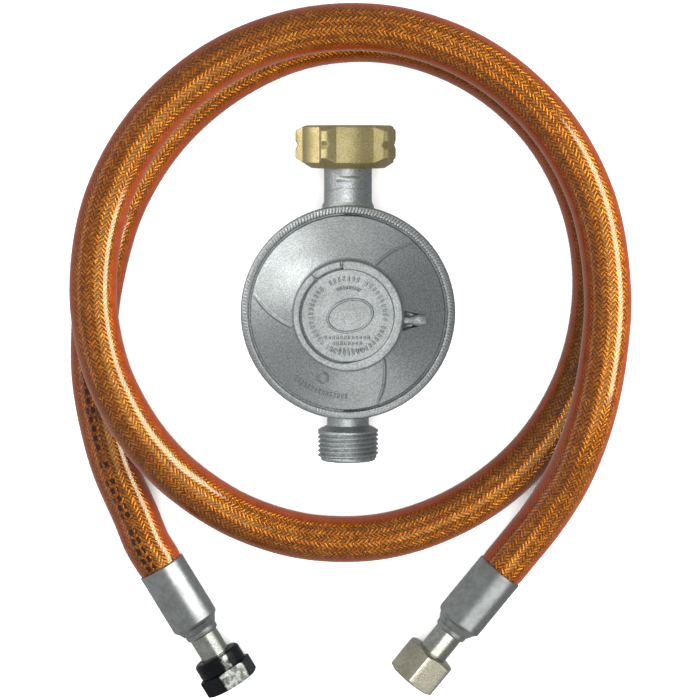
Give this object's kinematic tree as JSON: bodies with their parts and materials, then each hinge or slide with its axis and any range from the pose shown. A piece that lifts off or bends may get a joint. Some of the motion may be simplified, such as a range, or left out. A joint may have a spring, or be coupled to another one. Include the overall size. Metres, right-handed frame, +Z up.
{
  "type": "propane regulator hose",
  "caption": "Low-pressure gas bottle regulator with a lugged brass inlet nut, and a coiled braided orange gas hose with crimped swivel-nut ends.",
  "frame": {"origin": "centre of the regulator's flat back, on the surface it lies on, below the centre of its round cover", "axes": "+Z up out of the cover; +Y from the outlet towards the brass inlet nut; +X to the right seen from above"},
  "size_m": [0.1851, 0.2316, 0.0425],
  "materials": {
    "zinc_casting": "fine blasted zinc casting, satin",
    "brass": "satin brass, lightly tarnished",
    "spring_steel": "drawn wire",
    "plain_steel": "zinc-plated",
    "seal_rubber": "matt",
    "hose_orange": "clear orange cover over a brown and gold braid, glossy",
    "ferrule_steel": "satin grey plating",
    "stem_steel": "bright plated, faint yellow-green tint",
    "black_nut": "glossy black, worn on one flat",
    "nickel_nut": "warm dull nickel plating"
  },
  "bodies": {
    "regulator": {"regulator_body": "zinc_casting", "regulator_cover": "zinc_casting", "boss_cap": "zinc_casting", "spring_adjuster": "brass", "main_spring": "spring_steel", "diaphragm": "seal_rubber", "lever_pin": "plain_steel", "inlet_nozzle": "brass", "inlet_nipple": "brass", "inlet_filter": "plain_steel", "inlet_washer": "seal_rubber", "excess_flow_seat": "brass", "excess_flow_spring": "spring_steel"},
    "diaphragm_group": {"diaphragm_plate": "plain_steel", "diaphragm_stud": "plain_steel", "stud_nut": "plain_steel"},
    "lever": {"valve_lever": "plain_steel"},
    "poppet": {"valve_poppet": "brass", "valve_seat_pad": "seal_rubber"},
    "inlet_nut": {"inlet_nut": "brass"},
    "excess_flow": {"excess_flow_piston": "plain_steel"},
    "hose_assembly": {"hose": "hose_orange", "left_ferrule": "ferrule_steel", "left_stem": "stem_steel", "left_washer": "seal_rubber", "right_ferrule": "ferrule_steel", "right_stem": "stem_steel", "right_washer": "seal_rubber"},
    "left_nut": {"left_nut": "black_nut"},
    "right_nut": {"right_nut": "nickel_nut"}
  },
  "joints": [
    {"name": "diaphragm_lift", "type": "slide", "parent": "regulator", "child": "diaphragm_group", "axis": [0, 0, 1], "range_m": [0, 0.002], "stiffness_N_per_m": 800, "springref_m": -0.008, "deforming": ["main_spring", "diaphragm"]},
    {"name": "lever_tilt", "type": "hinge", "parent": "regulator", "child": "lever", "pos_m": [0, 0.015, 0.0118], "axis": [1, 0, 0], "range_deg": [-8, 0]},
    {"name": "poppet_slide", "type": "slide", "parent": "regulator", "child": "poppet", "axis": [0, 1, 0], "range_m": [0, 0.0009]},
    {"name": "inlet_nut_spin", "type": "hinge", "parent": "regulator", "child": "inlet_nut", "pos_m": [0, 0.0539, 0.0178], "axis": [0, 1, 0], "continuous": true},
    {"name": "excess_flow_slide", "type": "slide", "parent": "regulator", "child": "excess_flow", "axis": [0, -1, 0], "range_m": [0, 0.0024], "stiffness_N_per_m": 100, "springref_m": -0.005, "deforming": ["excess_flow_spring"]},
    {"name": "hose_lift", "type": "slide", "parent": "regulator", "child": "hose_assembly", "axis": [0, 0, 1], "range_m": [0, 0.08]},
    {"name": "left_nut_spin", "type": "hinge", "parent": "hose_assembly", "child": "left_nut", "pos_m": [-0.04167, -0.12159, 0.01], "axis": [0.515, -0.8572, 0], "continuous": true},
    {"name": "right_nut_spin", "type": "hinge", "parent": "hose_assembly", "child": "right_nut", "pos_m": [0.0247, -0.1207, 0.01], "axis": [-0.6293, -0.7771, 0], "continuous": true}
  ],
  "couplings": [
    {"joint": "lever_tilt", "follows": "diaphragm_lift", "rad_per_m": -66.667},
    {"joint": "poppet_slide", "follows": "diaphragm_lift", "ratio": 0.4}
  ]
}
